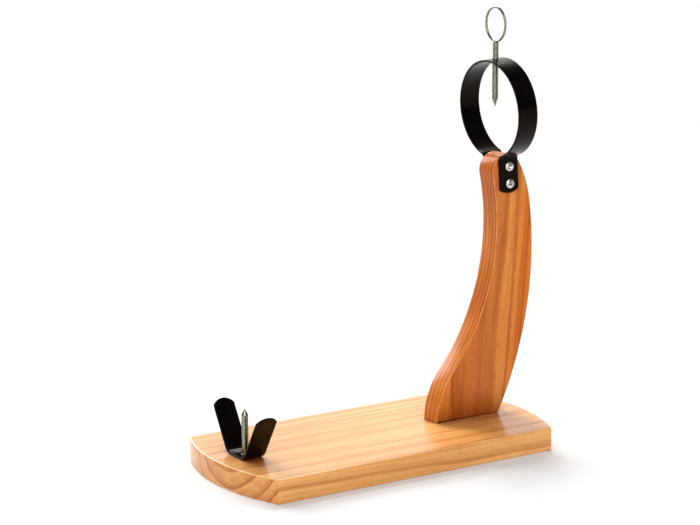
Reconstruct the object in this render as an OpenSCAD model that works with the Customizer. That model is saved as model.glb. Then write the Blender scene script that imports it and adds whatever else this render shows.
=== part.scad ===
// Ham stand: a wooden board with a curved upright, a steel strap ring with a clamp screw at the top,
// and a spiked steel cradle near the front. Origin: centre of the board's underside. +X runs from the
// cradle to the upright, +Y to the left of a person who looks that way, +Z up.

/* [Base board] */
// Width of the board
board_w = 180; // [160:1:200]
// Length between the corners of its two short ends
board_chord = 334; // [330:1:380]
// How far each short end curves out past its corners
end_bulge = 20; // [10:1:30]
// Thickness of the board
board_t = 25; // [22:1:28]

/* [Upright] */
// Thickness of the upright's board
upright_t = 25; // [22:1:28]
// Radius of the long hollow in its front edge
hollow_r = 242; // [236:1:248]
// Where the hollow reaches furthest back
throat_x = 149.8; // [147:0.1:152]
// Height of that point
throat_z = 232; // [228:0.5:236]
// Radius of the curve that turns the front edge upright at the foot
foot_r = 83; // [78:1:92]
// Height at which the foot's front is upright
foot_z = 23.5; // [20:0.5:26]
// Radius of the long curve of the back edge
back_r = 380; // [370:1:390]
// Where the back edge reaches furthest back
back_x = 197.2; // [195:0.1:200]
// Height of that point
back_z = 200; // [195:1:205]
// Radius of the shoulder between the back edge and the nose
shoulder_r = 115; // [105:1:125]
// Radius of the rounded top
nose_r = 18.5; // [17:0.5:20]
// Height of the centre of the rounded top
nose_z = 287.5; // [285:0.5:290]

/* [Strap ring] */
// Width of the steel strap
strap_w = 24; // [20:1:28]
// Thickness of the steel strap
strap_t = 2.2; // [1.5:0.1:2.5]
// Outer diameter of the ring
ring_d = 105; // [100:1:110]
// Height of the ring's centre
ring_z = 353.2; // [351:0.1:358]
// Where the ring's centre lies along the board
ring_x = 159.3; // [157:0.1:162]
// Lean of the ring towards the cradle
ring_lean = 3.6; // [0:0.1:6]
// Radius on the outside of the bend between a leg and the ring
leg_bend_r = 3; // [2:0.5:5]
// From the ring's centre to the corners of a leg's end
leg_reach = 84.8; // [80:0.1:88]
// Radius of the arc that ends a leg
leg_end_r = 20; // [14:1:30]
// From the ring's centre to the first screw of a leg
leg_screw_z = 60.3; // [58:0.1:64]
// Between the two screws of a leg
leg_screw_pitch = 18.5; // [15:0.5:20]
// Diameter of a pan head
pan_d = 10.5; // [9:0.5:12]
// Height of a pan head
pan_h = 3; // [2.5:0.1:3.6]

/* [Clamp screw] */
// Diameter of the screw
rod_d = 6.4; // [5:0.1:8]
// Where its axis lies along the board
rod_x = 155; // [154:0.1:158]
// Height of its upper end
rod_top_z = 422.5; // [415:0.1:430]
// Length of the full-diameter part
rod_len = 59.8; // [50:0.1:70]
// Length of its point
rod_point = 7.8; // [5:0.1:10]
// Outer diameter of the eye
eye_d = 38; // [30:1:42]
// Turn of the eye from square across the board, seen from above
eye_turn = -2.5; // [-90:0.5:90]
// Thickness of the eye's wire
eye_wire = 2.5; // [2:0.1:3]
// Gap all round between the screw and its hole
rod_play = 0.05; // [0.02:0.01:0.09]

/* [Cradle and spike] */
// Where the spike stands along the board
spike_x = -152.5; // [-156:0.5:-140]
// Diameter of the spike
spike_d = 7; // [6:0.5:8]
// Height of the foot of the spike's point
spike_shoulder_z = 67.5; // [60:0.1:75]
// Length of the spike's point
spike_point = 6.9; // [5:0.1:9]
// Thickness of the cradle's strap
cradle_t = 2; // [1.5:0.1:2.5]
// Half the width of the cradle's flat floor
floor_half = 10; // [8:0.5:12]
// Radius on the inside of the cradle's bends
cradle_bend_r = 10; // [6:0.5:12]
// Slope of the cradle's arms above level
arm_slope = 58.5; // [50:0.5:70]
// Length of an arm from its bend to its corners
arm_len = 44.5; // [35:0.5:50]
// Radius of the arc that ends an arm
arm_end_r = 14.5; // [13:0.5:20]

/* [Hidden] */
$fn = 96;

wood = "#d9904f";
board_wood = "#efbb86";
black = "#17161a";
steel = "#c4c4c2";

// Board outline: each short end is an arc through its two corners and its bulge
end_r = (pow(board_w / 2, 2) + end_bulge * end_bulge) / (2 * end_bulge);
board_half = board_chord / 2 + end_bulge;

// Upright outline, in X and Z: centres of its arcs
function meet(a, ra, b, rb, side) =
    let (d = norm(b - a), u = (b - a) / d, k = (ra * ra - rb * rb + d * d) / (2 * d))
    a + k * u + side * sqrt(ra * ra - k * k) * [-u.y, u.x];
function toward(a, b, r) = a + r * (b - a) / norm(b - a);
hollow_c = [throat_x - hollow_r, throat_z];
foot_c = [hollow_c.x + sqrt(pow(hollow_r + foot_r, 2) - pow(throat_z - foot_z, 2)), foot_z];
nose_c = [hollow_c.x + sqrt(pow(hollow_r + nose_r, 2) - pow(nose_z - throat_z, 2)), nose_z];
back_c = [back_x - back_r, back_z];
shoulder_c = meet(back_c, back_r - shoulder_r, nose_c, shoulder_r - nose_r, -1);
// and the points where one arc runs into the next
foot_hollow = toward(hollow_c, foot_c, hollow_r);
hollow_nose = toward(nose_c, hollow_c, nose_r);
back_shoulder = toward(back_c, shoulder_c, back_r);
shoulder_nose = toward(nose_c, shoulder_c, -nose_r);
upright_span = 400;
// How far shapes that run into each other overlap
lap = 5;
// How far inside an arc a straight edge that runs on from it lies, so that the two cross
tuck = 0.001;

// Ring and legs, in the ring's own Y and Z from its centre
ring_r = ring_d / 2;
leg_y = upright_t / 2;
bend_y = leg_y + strap_t + leg_bend_r;
bend_z = -sqrt(pow(ring_r + leg_bend_r, 2) - bend_y * bend_y);
strap_screw_d = 4.5;
strap_screw_len = 11;
cross_w = 1.5;
cross_l = 6.5;
cross_deep = 1.4;

// Weld that holds the eye on the screw, and the gap where the two bodies meet
eye_gap = 0.3;
weld_r = 2.6;
weld_h = 2.4;
eye_r = (eye_d - eye_wire) / 2;
eye_z = rod_top_z + eye_gap + eye_d / 2;
rod_chamfer = 0.5;

// Outer radius of the cradle's bends
cradle_turn_r = cradle_bend_r + cradle_t;

// Fixing of the spike under the board
nest_r = 10.5;
nest_deep = 9;
washer_r = 9;
washer_t = 1.6;
nut_af = 11;
nut_t = 5.5;
spike_end_z = 0.6;
fillet_r = 4.8;
fillet_h = 1.5;

// Screws and dowels between the board and the upright
foot_screw_x = [104, 124];
foot_screw_r = 2.5;
foot_screw_len = 60;
foot_head_r = 4.75;
foot_head_h = 3;
foot_head_z = 0.8;
dowel_x = [88, 142];
dowel_r = 4;
dowel_len = 30;
dowel_depth = 12;
dowel_air = 1;

// A strip of the given width that starts at y = 0 and ends in an arc through its corners at y = len
module arc_end_strip(width, len, end_radius) {
    intersection() {
        translate([-width / 2, 0])
            square([width, len + end_radius]);
        union() {
            translate([-width / 2, 0])
                square([width, len]);
            translate([0, len - sqrt(end_radius * end_radius - width * width / 4)])
                circle(end_radius);
        }
    }
}

module board_outline() {
    intersection() {
        square([2 * board_half, board_w], center = true);
        translate([end_r - board_half, 0])
            circle(end_r, $fn = 360);
        translate([board_half - end_r, 0])
            circle(end_r, $fn = 360);
    }
}

module foot_screw_shape(x) {
    translate([x, 0, foot_head_z]) {
        cylinder(r1 = foot_head_r, r2 = foot_screw_r, h = foot_head_h);
        cylinder(r = foot_screw_r, h = foot_screw_len - 4);
        translate([0, 0, foot_screw_len - 4])
            cylinder(r1 = foot_screw_r, r2 = 0.4, h = 4);
    }
}

module dowel_shape(x, air = 0) {
    translate([x, 0, board_t - dowel_depth - air])
        cylinder(r = dowel_r, h = dowel_len + 2 * air);
}

module base_board() {
    color(board_wood)
        difference() {
            linear_extrude(board_t)
                board_outline();
            translate([spike_x, 0, -1]) {
                cylinder(d = spike_d, h = board_t + 2);
                cylinder(r = nest_r, h = nest_deep + 1);
            }
            for (x = foot_screw_x) {
                foot_screw_shape(x);
                translate([x, 0, -1])
                    cylinder(r = foot_head_r, h = foot_head_z + 1);
            }
            for (x = dowel_x)
                dowel_shape(x, dowel_air);
        }
}

module arc_disc(centre, r) {
    translate(centre)
        circle(r, $fn = 360);
}

// Foot, trunk, head and nose of the upright, each bounded by its own arcs
module upright_outline() {
    intersection() {
        arc_disc(foot_c, foot_r);
        arc_disc(back_c, back_r);
        translate([0, board_t])
            square([upright_span, foot_hollow.y + lap - board_t]);
    }
    difference() {
        union() {
            intersection() {
                arc_disc(back_c, back_r);
                translate([0, foot_hollow.y])
                    square([upright_span, back_shoulder.y - foot_hollow.y]);
            }
            intersection() {
                arc_disc(shoulder_c, shoulder_r);
                polygon([[0, back_shoulder.y - lap], [upright_span, back_shoulder.y - lap],
                    [upright_span, shoulder_nose.y], shoulder_nose, hollow_nose, [0, hollow_nose.y]]);
            }
        }
        arc_disc(hollow_c, hollow_r);
    }
    arc_disc(nose_c, nose_r);
}

// Children stand in the ring's own frame, with its lean
module at_ring() {
    translate([ring_x, 0, ring_z])
        rotate([0, -ring_lean, 0])
            children();
}

// Children stand on a leg's inner face, with +Z away from the upright
module on_leg(side, down) {
    at_ring()
        translate([0, side * leg_y, -down])
            rotate([-side * 90, 0, 0])
                children();
}

module strap_screw_shape() {
    translate([0, 0, strap_t - strap_screw_len])
        cylinder(d = strap_screw_d, h = strap_screw_len);
    translate([0, 0, strap_t])
        intersection() {
            cylinder(d = pan_d, h = pan_h);
            translate([0, 0, pan_h - pan_d])
                sphere(pan_d);
        }
}

module upright() {
    color(wood)
        difference() {
            rotate([90, 0, 0])
                linear_extrude(upright_t, center = true)
                    upright_outline();
            for (x = foot_screw_x)
                foot_screw_shape(x);
            for (x = dowel_x)
                dowel_shape(x, dowel_air);
            for (side = [-1, 1], k = [0, 1])
                on_leg(side, leg_screw_z + k * leg_screw_pitch)
                    strap_screw_shape();
        }
}

// What lies inside one face of the strap: a disc, the space between the legs, and the bends
module strap_side(r, half, fillet, reach) {
    circle(r, $fn = 180);
    translate([-half, -reach])
        square([2 * half, reach]);
    for (side = [-1, 1])
        difference() {
            polygon([[0, 0], [0, bend_z], [side * bend_y, bend_z]]);
            translate([side * bend_y, bend_z])
                circle(fillet);
        }
}

module strap_outline() {
    difference() {
        strap_side(ring_r, leg_y + strap_t, leg_bend_r, lap - bend_z);
        strap_side(ring_r - strap_t, leg_y, leg_bend_r + strap_t, 2 * lap - bend_z);
    }
}

module ring_strap() {
    color(black)
        difference() {
            at_ring() {
                rotate([90, 0, 90])
                    linear_extrude(strap_w, center = true)
                        strap_outline();
                for (side = [-1, 1])
                    translate([0, side * (leg_y + strap_t / 2), bend_z])
                        rotate([-90, 0, 0])
                            linear_extrude(strap_t, center = true)
                                arc_end_strip(strap_w, leg_reach + bend_z, leg_end_r);
            }
            translate([rod_x, 0, ring_z])
                cylinder(d = rod_d + 2 * rod_play, h = ring_d);
            for (side = [-1, 1], k = [0, 1])
                on_leg(side, leg_screw_z + k * leg_screw_pitch)
                    strap_screw_shape();
        }
}

module strap_screw(side, row) {
    color(steel)
        difference() {
            on_leg(side, leg_screw_z + row * leg_screw_pitch)
                strap_screw_shape();
            on_leg(side, leg_screw_z + row * leg_screw_pitch)
                translate([0, 0, strap_t + pan_h])
                    for (turn = [45, 135])
                        rotate([0, 0, turn])
                            cube([cross_l, cross_w, 2 * cross_deep], center = true);
        }
}

module clamp_rod() {
    color(steel)
        translate([rod_x, 0, rod_top_z - rod_len])
            rotate_extrude()
                polygon([[0, -rod_point], [rod_d / 2 - rod_chamfer, 0], [rod_d / 2, 0],
                    [rod_d / 2, rod_len - rod_chamfer], [rod_d / 2 - rod_chamfer, rod_len], [0, rod_len]]);
}

module eye_ring() {
    color(steel) {
        translate([rod_x, 0, eye_z])
            rotate([0, 90, eye_turn])
                rotate_extrude()
                    translate([eye_r, 0])
                        circle(d = eye_wire, $fn = 48);
        translate([rod_x, 0, rod_top_z + eye_gap])
            cylinder(r1 = weld_r, r2 = eye_wire / 2, h = weld_h);
    }
}

// What lies above one face of the cradle's strap, on one side of its middle
module above_cradle(inset, reach) {
    bend = [floor_half, cradle_turn_r];
    arm_foot = bend + (cradle_turn_r - inset - tuck) * [sin(arm_slope), -cos(arm_slope)];
    arm_tip = arm_foot + reach * [cos(arm_slope), sin(arm_slope)];
    translate([-lap, inset])
        square([floor_half + lap, cradle_turn_r]);
    translate(bend)
        circle(cradle_turn_r - inset);
    polygon([bend, arm_foot, arm_tip, [-lap, arm_tip.y], [-lap, bend.y]]);
}

module cradle_outline() {
    for (side = [0, 1])
        mirror([side, 0])
            difference() {
                above_cradle(0, arm_len + arm_end_r);
                above_cradle(cradle_t, arm_len + arm_end_r + 2 * lap);
            }
}

// Takes an arm's end back to its arc
module arm_end_cut() {
    translate([0, floor_half, cradle_turn_r])
        rotate([arm_slope, 0, 0])
            translate([0, 0, -cradle_turn_r - lap])
                linear_extrude(cradle_t + 2 * lap)
                    difference() {
                        translate([-strap_w, arm_len])
                            square([2 * strap_w, 2 * arm_end_r]);
                        translate([0, arm_len - sqrt(arm_end_r * arm_end_r - strap_w * strap_w / 4)])
                            circle(arm_end_r);
                    }
}

module cradle() {
    color(black)
        translate([spike_x, 0, board_t])
            difference() {
                rotate([90, 0, 90])
                    linear_extrude(strap_w, center = true)
                        cradle_outline();
                for (side = [0, 1])
                    mirror([0, side, 0])
                        arm_end_cut();
                translate([0, 0, -1])
                    cylinder(d = spike_d, h = cradle_t + 2);
            }
}

module spike() {
    color(steel)
        translate([spike_x, 0, 0]) {
            translate([0, 0, spike_end_z])
                cylinder(d = spike_d, h = spike_shoulder_z - spike_end_z);
            translate([0, 0, spike_shoulder_z])
                cylinder(d1 = spike_d, d2 = 0.4, h = spike_point);
            translate([0, 0, board_t + cradle_t])
                cylinder(r1 = fillet_r, r2 = spike_d / 2, h = fillet_h);
        }
}

module spike_washer() {
    color(steel)
        translate([spike_x, 0, nest_deep - washer_t])
            difference() {
                cylinder(r = washer_r, h = washer_t);
                translate([0, 0, -1])
                    cylinder(d = spike_d, h = washer_t + 2);
            }
}

module spike_nut() {
    color(steel)
        translate([spike_x, 0, nest_deep - washer_t - nut_t])
            difference() {
                cylinder(d = nut_af / cos(30), h = nut_t, $fn = 6);
                translate([0, 0, -1])
                    cylinder(d = spike_d, h = nut_t + 2);
            }
}

module foot_screw(k) {
    color(steel)
        foot_screw_shape(foot_screw_x[k]);
}

module foot_dowel(k) {
    color(board_wood)
        dowel_shape(dowel_x[k]);
}

base_board();
upright();
ring_strap();
strap_screw(-1, 0);  // strap_screw_near_top
strap_screw(-1, 1);  // strap_screw_near_low
strap_screw(1, 0);  // strap_screw_far_top
strap_screw(1, 1);  // strap_screw_far_low
clamp_rod();
eye_ring();
cradle();
spike();
spike_washer();
spike_nut();
foot_screw(0);  // foot_screw_front
foot_screw(1);  // foot_screw_rear
foot_dowel(0);  // foot_dowel_front
foot_dowel(1);  // foot_dowel_rear
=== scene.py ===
import math

import bmesh
import bpy
from mathutils import Matrix, Vector, noise


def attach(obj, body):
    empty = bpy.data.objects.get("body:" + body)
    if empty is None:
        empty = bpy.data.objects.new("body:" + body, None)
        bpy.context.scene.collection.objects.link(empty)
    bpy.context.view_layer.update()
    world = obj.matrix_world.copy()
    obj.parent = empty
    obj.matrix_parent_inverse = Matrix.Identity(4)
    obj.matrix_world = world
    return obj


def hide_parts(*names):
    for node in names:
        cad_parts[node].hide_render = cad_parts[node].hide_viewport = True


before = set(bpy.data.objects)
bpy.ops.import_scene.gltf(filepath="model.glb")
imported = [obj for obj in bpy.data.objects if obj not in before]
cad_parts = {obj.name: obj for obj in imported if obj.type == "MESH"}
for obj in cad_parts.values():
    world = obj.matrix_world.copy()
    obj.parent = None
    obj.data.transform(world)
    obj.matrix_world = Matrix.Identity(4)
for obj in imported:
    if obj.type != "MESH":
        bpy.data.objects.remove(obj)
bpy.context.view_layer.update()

# Everything below is in millimetres until emit() scales it to metres.
MM = 0.001

# Sizes, as in the CAD source. BOARD_HALF, EYE_R and the back's 197.19 are up to 0.05 less than there,
# because the CAD's arcs are cut into facets, which makes its box a little smaller.
BOARD_T, BOARD_HALF, HALF_W = 25.0, 186.95, 90.0
BOARD_END_R = 212.5
UP_T = 25.0
HOLLOW_C, HOLLOW_R = Vector((149.8 - 242.0, 232.0)), 242.0
FOOT_R, FOOT_Z = 83.0, 23.5
BACK_C, BACK_R = Vector((197.19 - 380.0, 200.0)), 380.0
SHOULDER_R = 115.0
NOSE_R, NOSE_Z = 18.5, 287.5
STRAP_W, STRAP_T = 24.0, 2.2
RING_R, RING_X, RING_Z, RING_LEAN = 52.5, 159.3, 353.2, 3.6
LEG_BEND_R, LEG_CORNERS, LEG_END_R = 3.0, 84.8, 20.0
LEG_SCREWS = (60.3, 78.8)
PAN_R, PAN_H, STRAP_SCREW_R, STRAP_SCREW_LEN = 5.25, 3.0, 2.25, 11.0
ROD_R, ROD_X, ROD_TOP, ROD_LEN, ROD_POINT = 3.2, 155.0, 422.5, 59.8, 7.8
EYE_R, EYE_WIRE_R, EYE_Z, EYE_TURN = 17.74, 1.25, 441.8, -2.5
SPIKE_X, SPIKE_R, SPIKE_FOOT, SPIKE_SHOULDER, SPIKE_TIP = -152.5, 3.5, 0.6, 67.5, 74.4
CRADLE_T, FLOOR_HALF, CRADLE_BEND_R = 2.0, 10.0, 10.0
ARM_SLOPE, ARM_CORNERS, ARM_END_R = 58.5, 44.5, 14.5
NEST_R, NEST_DEEP, WASHER_R, WASHER_T, NUT_AF, NUT_T = 10.5, 9.0, 9.0, 1.6, 11.0, 5.5
FOOT_SCREWS, FOOT_SCREW_R, FOOT_SCREW_LEN = (104.0, 124.0), 2.5, 60.0
FOOT_HEAD_R, FOOT_HEAD_H, FOOT_HEAD_Z = 4.75, 3.0, 0.8
DOWELS, DOWEL_R, DOWEL_LEN, DOWEL_DEPTH = (88.0, 142.0), 4.0, 30.0, 12.0

# Sizes of the detail that only the visual model has
BOARD_EASE, BOARD_CORNER_R = 1.1, 1.6
UPRIGHT_EASE, UPRIGHT_CORNER_R = 1.35, 1.5
OUTLINE_STEP = 6.0
STRAP_EDGE = 0.5
HOLE_PLAY = 0.06
BEYOND = 3.0  # how far a cutter sticks out of what it cuts
PITCH, ROD_DEPTH, ROD_DEPTH_ABOVE = 1.0, 0.05, 0.14


# ---------------------------------------------------------------- mesh tools

def wobble(x, y, z, size, seed=0.0):
    """Smooth noise from about -1 to 1 whose bumps are size mm across."""
    return noise.noise(Vector((x / size + seed, y / size - seed, z / size + 2 * seed)))


def solid(verts, faces):
    """A mesh in millimetres with its normals turned outwards."""
    mesh = bpy.data.meshes.new("work")
    mesh.from_pydata([tuple(v) for v in verts], [], faces)
    bm = bmesh.new()
    bm.from_mesh(mesh)
    bmesh.ops.remove_doubles(bm, verts=bm.verts, dist=1e-5)
    bmesh.ops.recalc_face_normals(bm, faces=bm.faces)
    bm.to_mesh(mesh)
    bm.free()
    return mesh


def placed(mesh, matrix):
    mesh.transform(matrix)
    if matrix.determinant() < 0:
        mesh.flip_normals()
    return mesh


def shifted(mesh, x):
    """The mesh moved along X, from the origin to where its piece stands."""
    return placed(mesh, Matrix.Translation((x, 0, 0)))


def joined(*meshes):
    bm = bmesh.new()
    for m in meshes:
        bm.from_mesh(m)
    out = bpy.data.meshes.new("work")
    bm.to_mesh(out)
    bm.free()
    return out


def cut(mesh, cutters):
    """mesh less every cutter, one exact boolean after another."""
    scene = bpy.context.scene.collection
    base = bpy.data.objects.new("work", mesh)
    scene.objects.link(base)
    others = []
    for c in cutters:
        o = bpy.data.objects.new("cutter", c)
        scene.objects.link(o)
        others.append(o)
        m = base.modifiers.new("cut", "BOOLEAN")
        m.operation, m.solver, m.object = "DIFFERENCE", "EXACT", o
    bpy.context.view_layer.update()
    made = bpy.data.meshes.new_from_object(base.evaluated_get(bpy.context.evaluated_depsgraph_get()))
    for o in (base, *others):
        bpy.data.objects.remove(o)
    return made


def emit(name, mesh, material, body, nodes, crease=32.0):
    """The finished piece: scaled to metres, smooth but for edges sharper than crease, riding on its body."""
    mesh.transform(Matrix.Scale(MM, 4))
    mesh.name = name
    mesh.polygons.foreach_set("use_smooth", [True] * len(mesh.polygons))
    mesh.set_sharp_from_angle(angle=math.radians(crease))
    mesh.materials.clear()
    mesh.materials.append(material)
    obj = bpy.data.objects.new(name, mesh)
    bpy.context.scene.collection.objects.link(obj)
    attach(obj, body)
    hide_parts(*nodes)
    return obj


def arc(centre, r, start, end, steps):
    """Points from angle start to angle end, in degrees."""
    return [
        Vector((centre[0] + r * math.cos(a), centre[1] + r * math.sin(a)))
        for a in (math.radians(start + (end - start) * i / steps) for i in range(steps + 1))
    ]


def angle_to(a, b):
    return math.degrees(math.atan2(b[1] - a[1], b[0] - a[0]))


def tidy_loop(points):
    """The outline without repeated points, counter-clockwise."""
    out = []
    for p in points:
        if not out or (p - out[-1]).length > 1e-4:
            out.append(p)
    if (out[0] - out[-1]).length < 1e-4:
        out.pop()
    area = sum(a.x * b.y - b.x * a.y for a, b in zip(out, out[1:] + out[:1]))
    return out if area > 0 else out[::-1]


def rounded(points, radius, sharper_than=20.0, steps=4):
    """Each corner of the loop that turns by more than sharper_than degrees becomes an arc."""
    out, n = [], len(points)
    for i, p in enumerate(points):
        a, b = points[i - 1], points[(i + 1) % n]
        u, v = (a - p).normalized(), (b - p).normalized()
        turn = math.degrees(math.acos(max(-1.0, min(1.0, -u.dot(v)))))
        if turn < sharper_than:
            out.append(p)
            continue
        half = math.radians(180 - turn) / 2
        back = min(radius / math.tan(half), 0.45 * min((a - p).length, (b - p).length))
        r = back * math.tan(half)
        centre = p + (u + v).normalized() * (r / math.sin(half))
        first, last = p + u * back, p + v * back
        s = angle_to(centre, first)
        e = angle_to(centre, last)
        while e - s > 180:
            e -= 360
        while e - s < -180:
            e += 360
        out += arc(centre, r, s, e, steps)
    return out


def filled_in(points, step):
    """The loop with long straight runs divided, so that eased edges can vary along them."""
    out = []
    for p, q in zip(points, points[1:] + points[:1]):
        k = max(1, int((q - p).length / step))
        out += [p.lerp(q, i / k) for i in range(k)]
    return out


def slab(outline, thick, ease, steps=4, seed=1.0, uneven=0.18):
    """A board: the outline pushed out to thick along the third axis.

    Both rims are eased by arcs of radius ease, which varies by the share uneven, as hand sanding does.
    """
    n = len(outline)
    inward = []
    for i, p in enumerate(outline):
        u = (p - outline[i - 1]).normalized()
        v = (outline[(i + 1) % n] - p).normalized()
        m = Vector((-(u.y + v.y), u.x + v.x)).normalized()
        inward.append(m / max(0.5, m.dot(Vector((-u.y, u.x)))))
    levels = [(1.35, 0.0, 0)]
    turns = (math.pi / 2 * i / steps for i in range(steps + 1))
    levels += [(1 - math.sin(a), 1 - math.cos(a), 0) for a in turns]
    levels += [(t[0], t[1], 1) for t in reversed(levels)]
    verts, faces = [], []
    for inset, rise, far in levels:
        for p, m in zip(outline, inward):
            e = ease * (1 + uneven * wobble(p.x, p.y, far * 40.0, 16.0, seed))
            w = thick - rise * e if far else rise * e
            q = p + m * inset * e
            verts.append((q.x, q.y, w))
    for k in range(len(levels) - 1):
        for i in range(n):
            j = (i + 1) % n
            faces.append((k * n + i, k * n + j, (k + 1) * n + j, (k + 1) * n + i))
    faces.append(tuple(range(n))[::-1])
    faces.append(tuple(range((len(levels) - 1) * n, len(levels) * n)))
    return solid(verts, faces)


def turned(levels, segments=48):
    """A solid of revolution about Z from (height, radius) pairs.

    A radius is a number or a function of the turn in radians.
    """
    verts, faces = [], []
    for z, r in levels:
        for i in range(segments):
            a = 2 * math.pi * i / segments
            q = r(a) if callable(r) else r
            verts.append((q * math.cos(a), q * math.sin(a), z))
    rows = len(levels)
    for k in range(rows - 1):
        for i in range(segments):
            j = (i + 1) % segments
            faces.append((k * segments + i, k * segments + j, (k + 1) * segments + j, (k + 1) * segments + i))
    for row in (0, rows - 1):
        c = len(verts)
        verts.append((0, 0, levels[row][0]))
        for i in range(segments):
            j = (i + 1) % segments
            a, b = row * segments + i, row * segments + j
            faces.append((c, b, a) if row == 0 else (c, a, b))
    return solid(verts, faces)


def thread(z0, z1, radius, depth, pitch, runout=1.5, per_turn=8, width=1.0):
    """Levels of a right-hand thread between two heights, for turned().

    The grooves, which take up the share width of the pitch, fade out over runout at both ends.
    """
    count = max(2, round((z1 - z0) / pitch * per_turn))
    levels = []
    for i in range(count + 1):
        z = z0 + (z1 - z0) * i / count
        fade = max(0.0, min(1.0, (z - z0) / runout, (z1 - z) / runout))

        def r(a, z=z, fade=fade):
            phase = (z / pitch - a / (2 * math.pi)) % 1.0
            groove = max(0.0, 1 - abs(2 * phase - 1) / width)
            return radius - depth * fade * groove

        levels.append((z, r))
    return levels


def cylinder(r, z0, z1, segments=48):
    return turned([(z0, r), (z1, r)], segments)


# ---------------------------------------------------------------- straps

def bar_section(width, thick, edge, flat=14, corner=4):
    """Upper half of a flat bar's rounded section, from one edge to the other, as (across, through) pairs."""
    w, t = width / 2, thick / 2
    left = [
        (-w + edge - edge * math.cos(a), t - edge + edge * math.sin(a))
        for a in (math.pi / 2 * i / corner for i in range(corner + 1))
    ]
    middle = [(-w + edge + (width - 2 * edge) * i / flat, t) for i in range(1, flat)]
    right = [(-u, n) for u, n in reversed(left)]
    return left + middle + right


def strap(path, width, thick, end_r, edge, free):
    """A flat bar bent along path and cut to an arc at both ends.

    path holds (point, side) pairs, side pointing to the bar's outer face, both 2-D in Y and Z. Its first
    and last free + 1 points lie on straight legs, over which the round of the end dies out. The bar's
    width runs along X.
    """
    half = bar_section(width, thick, edge)
    loop = half + [(u, -n) for u, n in reversed(half)]
    rows = []
    last = len(path) - 1
    ease_steps = 3
    eased = [
        (edge * (1 - math.cos(a)), edge * (1 - math.sin(a)))
        for a in (math.pi / 2 * i / ease_steps for i in range(ease_steps))
    ]
    runs = [(0, forward, shrink) for forward, shrink in eased]
    runs += [(i, 0.0, 0.0) for i in range(1, last)]
    runs += [(last, forward, shrink) for forward, shrink in reversed(eased)]
    for i, forward, shrink in runs:
        p, side = path[i]
        along = (path[min(i + 1, last)][0] - path[max(i - 1, 0)][0]).normalized()
        from_start, from_end = i / free, (last - i) / free
        for u, n in loop:
            q = Vector(p)
            su = math.copysign(max(0.0, abs(u) - shrink), u)
            sn = math.copysign(max(0.0, abs(n) - shrink), n)
            cut_back = end_r - math.sqrt(end_r * end_r - su * su)
            if from_start < 1:
                q = q + along * (cut_back * (1 - from_start) + (forward if i == 0 else 0))
            if from_end < 1:
                q = q - along * (cut_back * (1 - from_end) + (forward if i == last else 0))
            q = q + side * sn
            rows.append((su, q.x, q.y))
    size, levels = len(loop), len(runs)
    faces = []
    for k in range(levels - 1):
        for i in range(size):
            j = (i + 1) % size
            faces.append((k * size + i, k * size + j, (k + 1) * size + j, (k + 1) * size + i))
    m = len(half)
    for base in (0, (levels - 1) * size):
        for i in range(m - 1):
            faces.append((base + i, base + i + 1, base + size - 2 - i, base + size - 1 - i))
    return solid(rows, faces)


def leaned(mesh):
    """From the ring's own frame, whose origin is its centre, to the row frame."""
    turn = Matrix.Rotation(math.radians(-RING_LEAN), 4, "Y")
    return placed(mesh, Matrix.Translation((RING_X, 0, RING_Z)) @ turn)


def on_leg(mesh, side, down):
    """From a frame that stands on a leg's inner face, +Z away from the upright, to the row frame."""
    turn = Matrix.Rotation(math.radians(-side * 90), 4, "X")
    return leaned(placed(mesh, Matrix.Translation((0, side * UP_T / 2, -down)) @ turn))


def ring_path():
    r = RING_R - STRAP_T / 2
    leg_y = UP_T / 2 + STRAP_T / 2
    bend_y = UP_T / 2 + STRAP_T + LEG_BEND_R
    bend_z = -math.sqrt((RING_R + LEG_BEND_R) ** 2 - bend_y ** 2)
    apex = -(LEG_CORNERS - math.sqrt(LEG_END_R ** 2 - STRAP_W ** 2 / 4) + LEG_END_R)
    bend_r = LEG_BEND_R + STRAP_T / 2
    to_ring = angle_to((-bend_y, bend_z), (0, 0))
    free = 10
    near = [(Vector((-leg_y, apex + (bend_z - apex) * i / free)), Vector((-1, 0))) for i in range(free + 1)]
    centre = Vector((-bend_y, bend_z))
    near += [(p, (centre - p).normalized()) for p in arc(centre, bend_r, 0, to_ring, 8)[1:]]
    start = angle_to((0, 0), centre) + 360
    half = [(p, p.normalized()) for p in arc((0, 0), r, start, 90, 72)[1:]]
    one = near + half
    other = [(Vector((-p.x, p.y)), Vector((-n.x, n.y))) for p, n in reversed(one[:-1])]
    return one + other, free


def cradle_path():
    r = CRADLE_BEND_R + CRADLE_T / 2
    turn_z = BOARD_T + CRADLE_BEND_R + CRADLE_T
    slope = math.radians(ARM_SLOPE)
    free = 12
    bend = arc((-FLOOR_HALF, turn_z), r, 270 - ARM_SLOPE, 270, 10)
    centre = Vector((-FLOOR_HALF, turn_z))
    apex = ARM_CORNERS - math.sqrt(ARM_END_R ** 2 - STRAP_W ** 2 / 4) + ARM_END_R
    out = Vector((-math.sin(slope), -math.cos(slope)))
    up = Vector((-math.cos(slope), math.sin(slope)))
    one = [(bend[0] + up * apex * (1 - i / free), out) for i in range(free + 1)]
    one += [(p, (p - centre).normalized()) for p in bend[1:]]
    for i in range(1, 5):
        one.append((Vector((-FLOOR_HALF + FLOOR_HALF * i / 4, BOARD_T + CRADLE_T / 2)), Vector((0, -1))))
    other = [(Vector((-p.x, p.y)), Vector((-n.x, n.y))) for p, n in reversed(one[:-1])]
    return one + other, free


# ---------------------------------------------------------------- outlines of the boards

def board_outline():
    spread = math.degrees(math.asin(HALF_W / BOARD_END_R))
    c = BOARD_END_R - BOARD_HALF
    loop = arc((-c, 0), BOARD_END_R, -spread, spread, 72)
    loop += arc((c, 0), BOARD_END_R, 180 - spread, 180 + spread, 72)
    return filled_in(rounded(tidy_loop(loop), BOARD_CORNER_R), OUTLINE_STEP)


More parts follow.
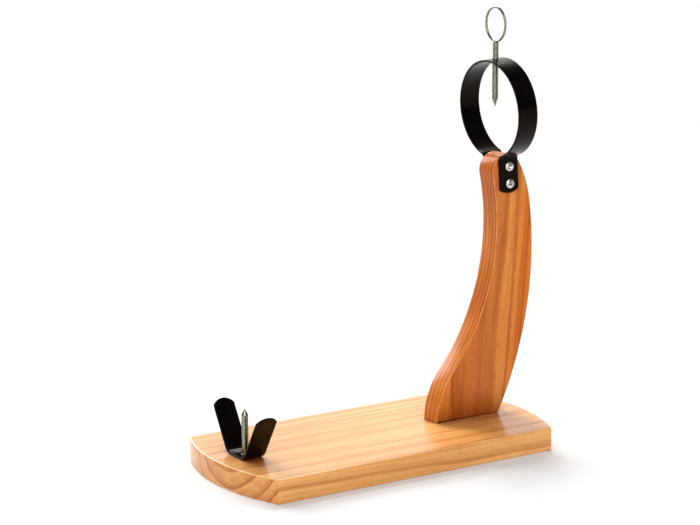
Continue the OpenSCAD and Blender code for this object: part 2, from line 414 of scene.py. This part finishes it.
def upright_outline():
    """In X and Z, from the front of the foot up the hollow, round the nose and down the back."""
    foot_c = Vector((HOLLOW_C.x + math.sqrt((HOLLOW_R + FOOT_R) ** 2 - (HOLLOW_C.y - FOOT_Z) ** 2), FOOT_Z))
    nose_c = Vector((HOLLOW_C.x + math.sqrt((HOLLOW_R + NOSE_R) ** 2 - (NOSE_Z - HOLLOW_C.y) ** 2), NOSE_Z))
    ra, rb = BACK_R - SHOULDER_R, SHOULDER_R - NOSE_R
    gap = nose_c - BACK_C
    k = (ra * ra - rb * rb + gap.length_squared) / (2 * gap.length)
    u = gap.normalized()
    shoulder_c = BACK_C + u * k - Vector((-u.y, u.x)) * math.sqrt(ra * ra - k * k)
    base = BOARD_T
    start = 180 - math.degrees(math.asin((base - FOOT_Z) / FOOT_R))
    loop = arc(foot_c, FOOT_R, start, angle_to(foot_c, HOLLOW_C), 24)
    loop += arc(HOLLOW_C, HOLLOW_R, angle_to(HOLLOW_C, foot_c), angle_to(HOLLOW_C, nose_c), 64)
    loop += arc(nose_c, NOSE_R, angle_to(nose_c, HOLLOW_C) + 360, angle_to(shoulder_c, nose_c), 28)
    loop += arc(shoulder_c, SHOULDER_R, angle_to(shoulder_c, nose_c), angle_to(BACK_C, shoulder_c), 24)
    low = -math.degrees(math.asin((BACK_C.y - base) / BACK_R))
    loop += arc(BACK_C, BACK_R, angle_to(BACK_C, shoulder_c), low, 72)
    return filled_in(rounded(tidy_loop(loop), UPRIGHT_CORNER_R), OUTLINE_STEP)


# ---------------------------------------------------------------- screws

def cross_cutter(length, width, deep, top, turn=45.0):
    """A cross recess with wings that taper as they go down."""
    out = []
    for k in (0, 1):
        m = []
        for z, shrink in ((top + 0.6, 1.0), (top, 1.0), (top - deep * 0.45, 0.78), (top - deep, 0.42)):
            lx, ly = length / 2 * shrink, width / 2 * (0.55 + 0.45 * shrink)
            m += [(-lx, -ly, z), (lx, -ly, z), (lx, ly, z), (-lx, ly, z)]
        faces = [(0, 1, 2, 3)]
        for r in range(3):
            for i in range(4):
                j = (i + 1) % 4
                faces.append((r * 4 + i, (r + 1) * 4 + i, (r + 1) * 4 + j, r * 4 + j))
        faces.append((15, 14, 13, 12))
        out.append(placed(solid(m, faces), Matrix.Rotation(math.radians(turn + 90 * k), 4, "Z")))
    return out


def pan_screw():
    """A pan-head screw that stands on the strap, in the frame of on_leg()."""
    top = STRAP_T + PAN_H
    dome = [(STRAP_T + 0.001, PAN_R - 0.35), (STRAP_T + 0.12, PAN_R - 0.1), (STRAP_T + 0.4, PAN_R)]
    dome += [(STRAP_T + 0.95, PAN_R)]
    for i in range(1, 9):
        a = math.radians(90 * i / 9)
        dome.append((STRAP_T + 0.95 + (PAN_H - 1.25) * math.sin(a), PAN_R - 1.9 + 1.9 * math.cos(a)))
    flat = PAN_R - 1.6
    dome += [(top - 0.3 * (r / flat) ** 2, r) for r in (flat * 0.8, flat * 0.6, flat * 0.4, flat * 0.2)]
    head = turned(dome, 64)
    head = cut(head, cross_cutter(6.6, 1.9, 2.0, top))
    bottom = STRAP_T - STRAP_SCREW_LEN
    shank = [(bottom, 0.25), (bottom + 2.2, 1.7)]
    shank += thread(bottom + 2.3, STRAP_T - 0.2, STRAP_SCREW_R - 0.05, 0.45, 1.6, runout=0.6)
    return joined(head, turned(shank, 28))


def foot_screw(x):
    z = FOOT_HEAD_Z
    levels = [(z, FOOT_HEAD_R - 0.35), (z + 0.12, FOOT_HEAD_R - 0.05), (z + 0.35, FOOT_HEAD_R - 0.1)]
    levels += [(z + FOOT_HEAD_H, FOOT_SCREW_R - 0.1), (z + 22, FOOT_SCREW_R - 0.1)]
    tip = z + FOOT_SCREW_LEN
    levels += thread(z + 22.2, tip - 5, FOOT_SCREW_R - 0.02, 0.6, 2.4, runout=2.0, per_turn=8)
    levels += [(tip - 0.1, 0.3)]
    screw = turned(levels, 40)
    recess = [placed(c, Matrix.Rotation(math.pi, 4, "X")) for c in cross_cutter(5.4, 1.2, 2.2, 0.0, 20.0)]
    recess = [placed(c, Matrix.Translation((0, 0, z))) for c in recess]
    return shifted(cut(screw, recess), x)


# ---------------------------------------------------------------- node graphs

class Graph:
    """A material's node tree, built a call at a time."""

    def __init__(self, name):
        self.material = bpy.data.materials.new(name)
        self.material.use_nodes = True
        self.tree = self.material.node_tree
        self.shader = next(n for n in self.tree.nodes if n.type == "BSDF_PRINCIPLED")
        self.coordinates = self.tree.nodes.new("ShaderNodeTexCoord").outputs["Object"]

    def put(self, socket, value):
        if isinstance(value, bpy.types.NodeSocket):
            self.tree.links.new(value, socket)
        elif hasattr(socket.default_value, "__len__"):
            width = len(socket.default_value)
            value = (value,) * width if isinstance(value, (int, float)) else tuple(value)
            socket.default_value = value + (1.0,) if width == len(value) + 1 else value
        else:
            socket.default_value = value

    def node(self, kind, inputs=None, **settings):
        n = self.tree.nodes.new(kind)
        for k, v in settings.items():
            setattr(n, k, v)
        for k, v in (inputs or {}).items():
            self.put(n.inputs[k], v)
        return n

    def math(self, operation, a, b=0.0, c=0.0, clamp=False):
        n = self.node("ShaderNodeMath", operation=operation, use_clamp=clamp)
        for i, v in enumerate((a, b, c)):
            self.put(n.inputs[i], v)
        return n.outputs[0]

    def vector(self, operation, a, b=(0, 0, 0)):
        n = self.node("ShaderNodeVectorMath", operation=operation)
        self.put(n.inputs[0], a)
        self.put(n.inputs[1], b)
        return n.outputs["Value"] if operation in ("DOT_PRODUCT", "LENGTH") else n.outputs["Vector"]

    def combine(self, x, y, z):
        return self.node("ShaderNodeCombineXYZ", {"X": x, "Y": y, "Z": z}).outputs[0]

    def noise(self, vector, scale, detail=2.0, roughness=0.5):
        inputs = {"Vector": vector, "Scale": scale, "Detail": detail, "Roughness": roughness}
        return self.node("ShaderNodeTexNoise", inputs).outputs[0]

    def mix(self, factor, a, b, blend="MIX"):
        n = self.node("ShaderNodeMix", data_type="RGBA", blend_type=blend)
        self.put(n.inputs[0], factor)
        self.put(n.inputs[6], a)
        self.put(n.inputs[7], b)
        return n.outputs[2]

    def span(self, value, low, high, to_low=0.0, to_high=1.0, smooth=False):
        n = self.node("ShaderNodeMapRange", interpolation_type="SMOOTHSTEP" if smooth else "LINEAR")
        for i, v in enumerate((value, low, high, to_low, to_high)):
            self.put(n.inputs[i], v)
        return n.outputs[0]

    def ramp(self, factor, stops):
        n = self.node("ShaderNodeValToRGB", {"Fac": factor})
        e = n.color_ramp.elements
        while len(e) < len(stops):
            e.new(0.5)
        for i, (at, value) in enumerate(stops):
            e[i].position = at
            e[i].color = (value, value, value, 1.0) if isinstance(value, float) else (*value, 1.0)
        return n.outputs[0]

    def finish(self, bump=None, strength=0.3, distance=0.0001, **sockets):
        if bump is not None:
            b = self.node("ShaderNodeBump", {"Strength": strength, "Distance": distance, "Height": bump})
            self.put(self.shader.inputs["Normal"], b.outputs["Normal"])
        for k, v in sockets.items():
            self.put(self.shader.inputs[k.replace("_", " ")], v)
        return self.material


def pine(name, pith, grain, face, rings, early, late, lines, streaks, seed, gloss, bands=None):
    """Sawn, lacquered pine.

    Growth rings are shells round the pith, a line through the point pith along grain; rings are their radii
    in mm. face is the direction of the board's thickness. lines and streaks say how strongly the rings and
    the fibres show, and bands are (mm across the grain, tint) pairs.
    """
    g = Graph(name)
    grain, face = Vector(grain).normalized(), Vector(face)
    across = face.cross(grain).normalized()
    through = grain.cross(across).normalized()
    p = g.vector("SUBTRACT", g.vector("MULTIPLY", g.coordinates, (1 / MM, 1 / MM, 1 / MM)), pith)
    along = g.vector("DOT_PRODUCT", p, grain)
    a = g.vector("DOT_PRODUCT", p, across)
    b = g.vector("DOT_PRODUCT", p, through)

    def grain_noise(stretch, scale, detail, rough=0.55):
        return g.noise(g.combine(a, b, g.math("MULTIPLY_ADD", along, stretch, seed)), scale, detail, rough)

    # growth rings
    drift = g.math("MULTIPLY_ADD", grain_noise(0.14, 0.018, 1.5), 13.0, -6.5)
    shake = g.math("MULTIPLY_ADD", grain_noise(0.14, 0.11, 2.0), 2.0, -1.0)
    r = g.math("ADD", g.vector("LENGTH", g.combine(a, b, 0.0)), g.math("ADD", drift, shake))
    reach = rings[-1] + 8.0
    stops, last = [(0.0, 0.0)], 0.0
    for i, ring in enumerate(rings):
        dark = 1.0 if i % 2 else 0.78
        stops += [((ring - 0.38 * (ring - last)) / reach, 0.25 * dark), ((ring - 0.7) / reach, dark)]
        stops.append(((ring + 0.5) / reach, 0.0))
        last = ring
    line = g.ramp(g.math("DIVIDE", r, reach), stops)
    in_rings = g.combine(r, g.math("MULTIPLY", a, 0.03), g.math("MULTIPLY", along, 0.003))
    late_wood = g.noise(in_rings, 0.85, 2.0, 0.6)
    geometry = g.node("ShaderNodeNewGeometry")
    facing = g.math("ABSOLUTE", g.vector("DOT_PRODUCT", geometry.outputs["True Normal"], grain))
    end = g.span(facing, 0.5, 0.9, smooth=True)

    # fibres, from broad streaks to single pores, all long along the grain
    cloud = grain_noise(0.25, 0.02, 2.0)
    broad = grain_noise(0.03, 0.13, 3.0)
    mid = grain_noise(0.022, 0.6, 3.0, 0.6)
    fine = grain_noise(0.03, 3.2, 2.0, 0.6)
    canal = g.span(grain_noise(0.13, 1.0, 1.0, 0.4), 0.64, 0.71, smooth=True)
    light = g.span(broad, 0.3, 0.7, 1 - streaks, 1 + streaks)
    light = g.math("ADD", light, g.span(mid, 0.25, 0.75, -streaks, streaks))
    light = g.math("ADD", light, g.span(fine, 0.25, 0.75, -0.6 * streaks, 0.6 * streaks))
    light = g.math("MULTIPLY", light, g.span(cloud, 0.3, 0.7, 0.94, 1.06))
    warm = g.combine(light, g.math("POWER", light, 1.6), g.math("POWER", light, 2.4))

    line = g.math("ADD", line, g.span(late_wood, 0.45, 0.8, 0.0, 0.55))
    tint = g.mix(g.math("MULTIPLY", line, g.span(end, 0, 1, lines, 0.95), clamp=True), early, late)
    if bands:
        low, high = bands[0][0], bands[-1][0]
        ragged = g.math("ADD", a, g.math("MULTIPLY_ADD", mid, 5.0, -2.5))
        place = g.span(ragged, low, high)
        stripes = g.ramp(place, [((at - low) / (high - low), c) for at, c in bands])
        tint = g.mix(1.0, tint, stripes, "MULTIPLY")
    tint = g.mix(1.0, tint, warm, "MULTIPLY")
    tint = g.mix(g.math("MULTIPLY", end, 0.8), tint, g.mix(1.0, tint, (0.88, 0.80, 0.74), "MULTIPLY"))
    tint = g.mix(g.math("MULTIPLY", canal, g.span(end, 0, 1, 0.6, 0.25)), tint, late)

    # edges: a painted highlight that makes the eased edges paler, as if they catch the light, plus a little
    # sanding wear through the lacquer
    tilt = g.math("ABSOLUTE", g.vector("DOT_PRODUCT", geometry.outputs["Normal"], face))
    edge = g.math("MULTIPLY", g.span(tilt, 0.2, 0.6, smooth=True), g.span(tilt, 0.97, 0.8, smooth=True))
    edge = g.math("MULTIPLY", edge, g.span(grain_noise(0.5, 0.12, 3.0), 0.35, 0.65, 0.25, 0.8))
    tint = g.mix(edge, tint, g.mix(0.35, early, (0.90, 0.60, 0.36)))

    # painted shade: the colour is darkened where nearby parts close in, at the upright's foot, under the
    # cradle and in other corners
    painted_shade_ao = g.node("ShaderNodeAmbientOcclusion", {"Distance": 0.05}, samples=6).outputs["AO"]
    corner = g.span(painted_shade_ao, 0.9, 0.3, smooth=True)
    corner = g.math("MULTIPLY", corner, g.span(tilt, 0.6, 0.9))
    tint = g.mix(corner, tint, g.mix(1.0, tint, (0.30, 0.15, 0.09), "MULTIPLY"))

    rough = g.math("ADD", g.span(fine, 0.2, 0.8, 0.38, 0.52), g.math("MULTIPLY", end, 0.12))
    height = g.math("ADD", g.math("MULTIPLY", fine, 0.5), g.math("MULTIPLY", mid, 0.6))
    height = g.math("SUBTRACT", height, g.math("MULTIPLY", canal, 0.9))
    height = g.math("ADD", height, g.math("MULTIPLY", line, 0.35))
    ripple = g.math("ADD", mid, broad)
    film = g.node("ShaderNodeBump", {"Strength": 0.12, "Distance": 0.00008, "Height": ripple})
    return g.finish(
        height, 0.3, 0.00009, Base_Color=tint, Roughness=rough, Specular_IOR_Level=0.05,
        Coat_Weight=gloss, Coat_IOR=1.38, Coat_Roughness=0.17, Coat_Normal=film.outputs["Normal"],
    )


def black_paint(name):
    """Satin black powder paint: faint orange peel, dust, and a little variation of gloss."""
    g = Graph(name)
    p = g.coordinates
    peel = g.noise(p, 900.0, 2.0, 0.5)
    dust = g.span(g.noise(p, 2600.0, 1.0), 0.71, 0.76, smooth=True)
    cloud = g.noise(p, 55.0, 3.0, 0.6)
    colour = g.mix(g.span(cloud, 0.3, 0.7), (0.0012, 0.0010, 0.0009), (0.0026, 0.0020, 0.0017))
    colour = g.mix(g.math("MULTIPLY", dust, 0.25), colour, (0.03, 0.027, 0.024))
    rough = g.math("ADD", g.span(cloud, 0.3, 0.7, 0.15, 0.22), g.math("MULTIPLY", dust, 0.2))
    return g.finish(
        g.math("ADD", peel, dust), 0.22, 0.00008,
        Base_Color=colour, Roughness=rough, IOR=1.30, Specular_Tint=(0.30, 0.13, 0.08),
    )


def steel(name, bright, dull, low, high, marks=(40.0, 40.0, 2600.0)):
    """Bare or plated steel with fine machining marks, its roughness between low and high."""
    g = Graph(name)
    p = g.coordinates
    turning = g.noise(g.vector("MULTIPLY", p, marks), 1.0, 3.0, 0.65)
    blotch = g.noise(p, 260.0, 3.0, 0.6)
    colour = g.mix(g.span(blotch, 0.3, 0.72), bright, dull)
    colour = g.mix(g.span(turning, 0.45, 0.8, 0.0, 0.35), colour, dull)
    rough = g.math("ADD", g.span(blotch, 0.3, 0.7, low, high), g.span(turning, 0.4, 0.8, 0.0, 0.06))
    # painted shade: the colour is darkened in recesses such as cross recesses and thread grooves, and along
    # joints
    painted_shade_ao = g.node("ShaderNodeAmbientOcclusion", {"Distance": 0.002}, samples=6).outputs["AO"]
    colour = g.mix(g.span(painted_shade_ao, 0.75, 0.35, smooth=True), colour, (0.035, 0.032, 0.026))
    return g.finish(turning, 0.12, 0.00003, Base_Color=colour, Roughness=rough, Metallic=1.0)


board_pine = pine(
    "board_pine", pith=(0.0, -19.0, 57.5), grain=(1, 0, -0.017), face=(0, 0, 1),
    rings=(20, 31, 41, 57, 75, 85, 95, 106, 120),
    early=(0.735, 0.365, 0.115), late=(0.44, 0.135, 0.020), lines=0.68, streaks=0.095, seed=3.0, gloss=0.85,
)
upright_pine = pine(
    "upright_pine", pith=(128.0, -132.0, 150.0), grain=(0.089, 0, 1), face=(0, 1, 0),
    rings=(60, 80, 100, 112, 121.9, 127.9, 134.3, 141, 149),
    early=(0.575, 0.190, 0.027), late=(0.30, 0.056, 0.003), lines=0.85, streaks=0.085, seed=7.0, gloss=0.4,
    bands=(
        (-70, (1.04, 1.08, 1.05)), (-6, (0.98, 0.93, 1.0)), (9, (0.86, 0.70, 0.95)), (17, (1.03, 1.10, 1.3)),
        (42, (1.06, 1.14, 1.4)), (52, (0.92, 0.70, 0.4)), (80, (0.97, 0.80, 0.5)),
    ),
)
dowel_beech = pine(
    "dowel_beech", pith=(60.0, 30.0, 0.0), grain=(0, 0.001, 1), face=(0, 1, 0),
    rings=(48, 52, 56, 60, 64, 68, 72, 76, 80),
    early=(0.62, 0.38, 0.22), late=(0.50, 0.28, 0.15), lines=0.5, streaks=0.04, seed=1.0, gloss=0.0,
)
black_strap = black_paint("black_strap")
bright_steel = steel(
    "bright_steel", bright=(0.31, 0.295, 0.243), dull=(0.17, 0.161, 0.125), low=0.07, high=0.14,
)
zinc_steel = steel(
    "zinc_steel", bright=(0.72, 0.73, 0.72), dull=(0.56, 0.55, 0.50), low=0.24, high=0.38,
    marks=(300.0, 300.0, 300.0),
)


# ---------------------------------------------------------------- the boards

def make_base_board():
    mesh = slab(board_outline(), BOARD_T, BOARD_EASE, seed=3.0)
    above, spike = BOARD_T + BEYOND, SPIKE_R + HOLE_PLAY
    levels = [(-BEYOND, NEST_R), (NEST_DEEP, NEST_R), (NEST_DEEP, spike), (above, spike)]
    holes = [shifted(turned(levels), SPIKE_X)]
    for x in FOOT_SCREWS:
        head, shank = FOOT_HEAD_R + HOLE_PLAY, FOOT_SCREW_R + HOLE_PLAY
        levels = [(-BEYOND, head), (FOOT_HEAD_Z, head), (FOOT_HEAD_Z + FOOT_HEAD_H, shank), (above, shank)]
        holes.append(shifted(turned(levels, 40), x))
    for x in DOWELS:
        holes.append(shifted(cylinder(DOWEL_R + HOLE_PLAY, BOARD_T - DOWEL_DEPTH - 1, above), x))
    emit("board_with_eased_edges", cut(mesh, holes), board_pine, "stand", ["base_board"])


def make_upright():
    mesh = slab(upright_outline(), UP_T, UPRIGHT_EASE, seed=8.0)
    # the outline's Y is height, and its thickness runs along Y
    stand_up = Matrix(((1, 0, 0, 0), (0, 0, -1, UP_T / 2), (0, 1, 0, 0), (0, 0, 0, 1)))
    mesh = placed(mesh, stand_up)
    below = BOARD_T - BEYOND
    holes = []
    for x in FOOT_SCREWS:
        shank, tip = FOOT_SCREW_R + HOLE_PLAY, FOOT_HEAD_Z + FOOT_SCREW_LEN
        holes.append(shifted(turned([(below, shank), (tip - 4, shank), (tip + 0.1, 0.5)], 40), x))
    dowel_end = BOARD_T - DOWEL_DEPTH + DOWEL_LEN + 1
    for x in DOWELS:
        holes.append(shifted(cylinder(DOWEL_R + HOLE_PLAY, below, dowel_end), x))
    pilot_end = STRAP_T - STRAP_SCREW_LEN - 0.2
    for side in (-1, 1):
        for down in LEG_SCREWS:
            holes.append(on_leg(cylinder(STRAP_SCREW_R + HOLE_PLAY, pilot_end, BEYOND), side, down))
    emit("upright_with_eased_edges", cut(mesh, holes), upright_pine, "stand", ["upright"])


def make_dowels():
    def flutes(a):
        return DOWEL_R - 0.28 * max(0.0, math.cos(18 * a)) ** 3

    bevel = 0.9
    for x, name in zip(DOWELS, ("foot_dowel_front", "foot_dowel_rear")):
        low = BOARD_T - DOWEL_DEPTH
        high, end_r = low + DOWEL_LEN, DOWEL_R - bevel
        levels = [(low, end_r), (low + bevel, flutes), (high - bevel, flutes), (high, end_r)]
        mesh = shifted(turned(levels, 144), x)
        emit("fluted_" + name, mesh, dowel_beech, "stand", [name])


# ---------------------------------------------------------------- ring, legs and cradle

def make_ring_strap():
    path, free = ring_path()
    mesh = leaned(strap(path, STRAP_W, STRAP_T, LEG_END_R, STRAP_EDGE, free))
    holes = [shifted(cylinder(ROD_R + 0.05, RING_Z + 30, RING_Z + 70), ROD_X)]
    for side in (-1, 1):
        for down in LEG_SCREWS:
            holes.append(on_leg(cylinder(STRAP_SCREW_R + 0.1, -BEYOND, STRAP_T + BEYOND), side, down))
    emit("bent_ring_strap", cut(mesh, holes), black_strap, "stand", ["ring_strap"])


def make_strap_screws():
    names = {(-1, 0): "near_top", (-1, 1): "near_low", (1, 0): "far_top", (1, 1): "far_low"}
    turns = {(-1, 0): 8, (-1, 1): -24, (1, 0): 31, (1, 1): -12}
    for (side, row), name in names.items():
        mesh = placed(pan_screw(), Matrix.Rotation(math.radians(turns[side, row]), 4, "Z"))
        mesh = on_leg(mesh, side, LEG_SCREWS[row])
        emit("pan_screw_" + name, mesh, zinc_steel, "stand", ["strap_screw_" + name], 28)


def make_cradle():
    path, free = cradle_path()
    mesh = shifted(strap(path, STRAP_W, CRADLE_T, ARM_END_R, STRAP_EDGE, free), SPIKE_X)
    hole = shifted(cylinder(SPIKE_R + HOLE_PLAY, BOARD_T - BEYOND, BOARD_T + 3 * BEYOND), SPIKE_X)
    emit("bent_cradle_strap", cut(mesh, [hole]), black_strap, "stand", ["cradle"])


# ---------------------------------------------------------------- steel

def make_clamp_rod():
    bottom = ROD_TOP - ROD_LEN
    levels = [(bottom - ROD_POINT, 0.05), (bottom - ROD_POINT + 0.35, 0.22), (bottom - 0.1, ROD_R - 0.62)]
    levels += [(bottom + 0.15, ROD_R - 0.15), (bottom + 0.5, ROD_R - 0.03)]
    # the thread shows above the strap and is nearly flat below it, as in the photograph
    strap_top, crest, top = RING_Z + RING_R, ROD_R - 0.01, ROD_TOP - 0.9
    levels += thread(bottom + 1.0, strap_top, crest, ROD_DEPTH, PITCH, runout=2.0, per_turn=10, width=0.35)
    levels += thread(strap_top, top, crest, ROD_DEPTH_ABOVE, PITCH, runout=1.0, per_turn=10, width=0.45)[1:]
    levels += [(ROD_TOP - 0.45, ROD_R - 0.05), (ROD_TOP - 0.12, ROD_R - 0.32), (ROD_TOP, ROD_R - 0.7)]
    mesh = shifted(turned(levels), ROD_X)
    emit("threaded_clamp_rod", mesh, bright_steel, "clamp_screw", ["clamp_rod"], 16)


def make_eye():
    around, section = 112, 20
    verts, faces = [], []
    for i in range(around):
        a = 2 * math.pi * i / around
        for k in range(section):
            s = 2 * math.pi * k / section
            r = EYE_R + EYE_WIRE_R * math.cos(s)
            verts.append((EYE_WIRE_R * math.sin(s), r * math.sin(a), r * math.cos(a)))
    for i in range(around):
        for k in range(section):
            j, m = (i + 1) % around, (k + 1) % section
            faces.append((i * section + k, j * section + k, j * section + m, i * section + m))
    turn = Matrix.Translation((ROD_X, 0, EYE_Z)) @ Matrix.Rotation(math.radians(EYE_TURN), 4, "Z")
    wire = placed(solid(verts, faces), turn)
    # the weld between wire and screw: a lumpy bead
    foot = ROD_TOP - EYE_Z
    levels = []
    for i in range(13):
        t = i / 12
        z = foot + 0.02 + 3.1 * t

        def r(a, t=t, z=z):
            swell = 2.45 * (1 - t) ** 0.55 + 1.15 * t
            return max(0.2, swell * (1 + 0.10 * wobble(3 * math.cos(a), 3 * math.sin(a), z, 1.7, 4.0)))

        levels.append((z, r))
    bead = placed(turned(levels, 36), turn)
    emit("wire_eye", joined(wire, bead), bright_steel, "screw_eye", ["eye_ring"], 50)


def make_spike():
    levels = [(SPIKE_FOOT, SPIKE_R - 0.7), (SPIKE_FOOT + 0.6, SPIKE_R - 0.1)]
    levels += thread(SPIKE_FOOT + 0.7, BOARD_T - 4, SPIKE_R - 0.02, 0.5, 1.25, runout=1.0)
    levels += [(BOARD_T - 3, SPIKE_R), (SPIKE_SHOULDER - 0.25, SPIKE_R), (SPIKE_SHOULDER, SPIKE_R - 0.04)]
    levels += [(SPIKE_SHOULDER + 0.3, SPIKE_R - 0.17), (SPIKE_TIP - 0.5, 0.38)]
    levels += [(SPIKE_TIP - 0.1, 0.2), (SPIKE_TIP, 0.03)]
    pin = turned(levels, 56)
    foot = BOARD_T + CRADLE_T
    rings = []
    for i in range(9):
        t = i / 8
        z = foot + 1.45 * t

        def r(a, t=t, z=z):
            swell = SPIKE_R - 0.1 + 1.15 * (1 - t) ** 1.8
            return swell + 0.16 * (1 - t) * wobble(4 * math.cos(a), 4 * math.sin(a), z, 1.5, 2.0)

        rings.append((z, r))
    weld = turned(rings, 56)
    mesh = shifted(joined(pin, weld), SPIKE_X)
    emit("pointed_spike", mesh, bright_steel, "stand", ["spike"])


def make_washer_and_nut():
    bore = SPIKE_R + 0.08
    low, high = NEST_DEEP - WASHER_T, NEST_DEEP
    rim = WASHER_R - 0.25
    disc = turned([(low, rim), (low + 0.2, WASHER_R), (high - 0.2, WASHER_R), (high - 0.02, rim)], 64)
    disc = cut(disc, [cylinder(bore, low - 2, high + 2)])
    emit("spike_plate_washer", shifted(disc, SPIKE_X), zinc_steel, "stand", ["spike_washer"])
    top = low - 0.02
    bottom = top - NUT_T + 0.04
    face, corner = NUT_AF / 2 - 0.15, NUT_AF / math.sqrt(3)
    chamfer, steps = 0.75, 6

    def hexagon(limit):
        """The nut's outline, cut down to a circle of radius limit at its corners."""
        def r(a):
            return min(limit, NUT_AF / 2 / math.cos((a + math.pi / 6) % (math.pi / 3) - math.pi / 6))

        return r

    half = []
    for i in range(steps + 1):
        half.append((chamfer * i / steps, hexagon(face + (corner - face) * i / steps)))
    levels = [(bottom + up, r) for up, r in half] + [(top - up, r) for up, r in reversed(half)]
    nut = cut(turned(levels, 96), [cylinder(bore, bottom - 2, top + 2)])
    emit("spike_hex_nut", shifted(nut, SPIKE_X), zinc_steel, "stand", ["spike_nut"], 25)


def make_foot_screws():
    for x, name in zip(FOOT_SCREWS, ("foot_screw_front", "foot_screw_rear")):
        emit("countersunk_" + name, foot_screw(x), zinc_steel, "stand", [name], 28)


# ---------------------------------------------------------------- studio

def make_floor():
    mesh = bpy.data.meshes.new("floor")
    reach = 40.0  # metres
    corners = [(-reach, -reach, 0), (reach, -reach, 0), (reach, reach, 0), (-reach, reach, 0)]
    mesh.from_pydata(corners, [], [(0, 1, 2, 3)])
    floor = bpy.data.objects.new("floor", mesh)
    bpy.context.scene.collection.objects.link(floor)
    g = Graph("floor_paper")
    speck = g.noise(g.coordinates, 30.0, 2.0)
    white = g.mix(speck, (0.735, 0.735, 0.735), (0.745, 0.745, 0.745))
    mesh.materials.append(g.finish(Base_Color=white, Roughness=0.9, Specular_IOR_Level=0.1))


def make_world():
    world = bpy.data.worlds.new("studio")
    bpy.context.scene.world = world
    world.use_nodes = True
    tree = world.node_tree
    background = tree.nodes["Background"]
    place = tree.nodes.new("ShaderNodeTexCoord")

    def toward(direction, low, high, at_low, at_high):
        facing = tree.nodes.new("ShaderNodeVectorMath")
        facing.operation = "DOT_PRODUCT"
        tree.links.new(place.outputs["Generated"], facing.inputs[0])
        facing.inputs[1].default_value = Vector(direction).normalized()
        ramp = tree.nodes.new("ShaderNodeMapRange")
        ramp.interpolation_type = "SMOOTHSTEP"
        tree.links.new(facing.outputs["Value"], ramp.inputs[0])
        for i, v in enumerate((low, high, at_low, at_high)):
            ramp.inputs[i + 1].default_value = v
        return ramp.outputs[0]

    def combined(operation, a, b):
        n = tree.nodes.new("ShaderNodeMath")
        n.operation = operation
        tree.links.new(a, n.inputs[0])
        tree.links.new(b, n.inputs[1])
        return n.outputs[0]

    # white paper behind the stand, soft boxes to the front left and overhead, a dark room to the front right
    paper = toward((0.50, 0.84, 0.20), 0.6, 0.95, at_low=0.08, at_high=1.2)
    left_box = toward((-0.42, -0.80, 0.42), 0.6, 0.95, at_low=0.0, at_high=2.6)
    top_box = toward((-0.35, 0.25, 0.90), 0.7, 0.95, at_low=0.0, at_high=0.3)
    room = toward((0.45, -0.85, -0.20), 0.6, 0.9, at_low=1.0, at_high=0.12)
    lit = combined("ADD", combined("ADD", paper, left_box), top_box)
    tree.links.new(combined("MULTIPLY", lit, room), background.inputs["Strength"])
    background.inputs["Color"].default_value = (1.0, 1.0, 1.0, 1.0)


def make_sun(name, toward, angle, strength):
    lamp = bpy.data.lights.new(name, "SUN")
    lamp.angle, lamp.energy = math.radians(angle), strength
    obj = bpy.data.objects.new(name, lamp)
    bpy.context.scene.collection.objects.link(obj)
    obj.rotation_euler = Vector(toward).to_track_quat("Z", "Y").to_euler()


def make_panel(name, at, to, size, watts):
    lamp = bpy.data.lights.new(name, "AREA")
    lamp.size, lamp.energy = size, watts
    obj = bpy.data.objects.new(name, lamp)
    bpy.context.scene.collection.objects.link(obj)
    obj.location = at
    obj.rotation_euler = (Vector(to) - Vector(at)).to_track_quat("-Z", "Y").to_euler()
    obj.visible_camera = False


def make_camera():
    """At the photograph's viewpoint: turned by yaw from +X, tipped down, and rolled a little."""
    eye = (-1.2119, -1.8474, 0.6735)
    yaw, pitch, roll = math.radians(57.313), math.radians(-11.950), math.radians(-0.1695)
    forward = Vector((math.cos(pitch) * math.cos(yaw), math.cos(pitch) * math.sin(yaw), math.sin(pitch)))
    right = Vector((math.sin(yaw), -math.cos(yaw), 0.0))
    up = right.cross(forward)
    level, tall = right * math.cos(roll) + up * math.sin(roll), up * math.cos(roll) - right * math.sin(roll)
    camera = bpy.data.cameras.new("camera")
    camera.sensor_width, camera.lens = 36.0, 113.05
    camera.clip_start, camera.clip_end = 0.05, 200.0
    obj = bpy.data.objects.new("camera", camera)
    bpy.context.scene.collection.objects.link(obj)
    turn = Matrix((level, tall, -forward)).transposed().to_4x4()
    obj.matrix_world = Matrix.Translation(eye) @ turn
    bpy.context.scene.camera = obj


make_camera()
make_base_board()
make_upright()
make_dowels()
make_ring_strap()
make_strap_screws()
make_cradle()
make_clamp_rod()
make_eye()
make_spike()
make_washer_and_nut()
make_foot_screws()
make_floor()
make_world()
make_sun("rear_key", toward=(-0.04, 0.87, 0.49), angle=45.0, strength=3.7)
make_sun("left_key", toward=(-0.52, -0.64, 0.57), angle=30.0, strength=0.4)
make_panel("cradle_glint", at=(0.32, 0.27, 0.74), to=(-0.152, 0.01, 0.03), size=0.10, watts=2.8)
bpy.context.scene.view_settings.view_transform = "Standard"
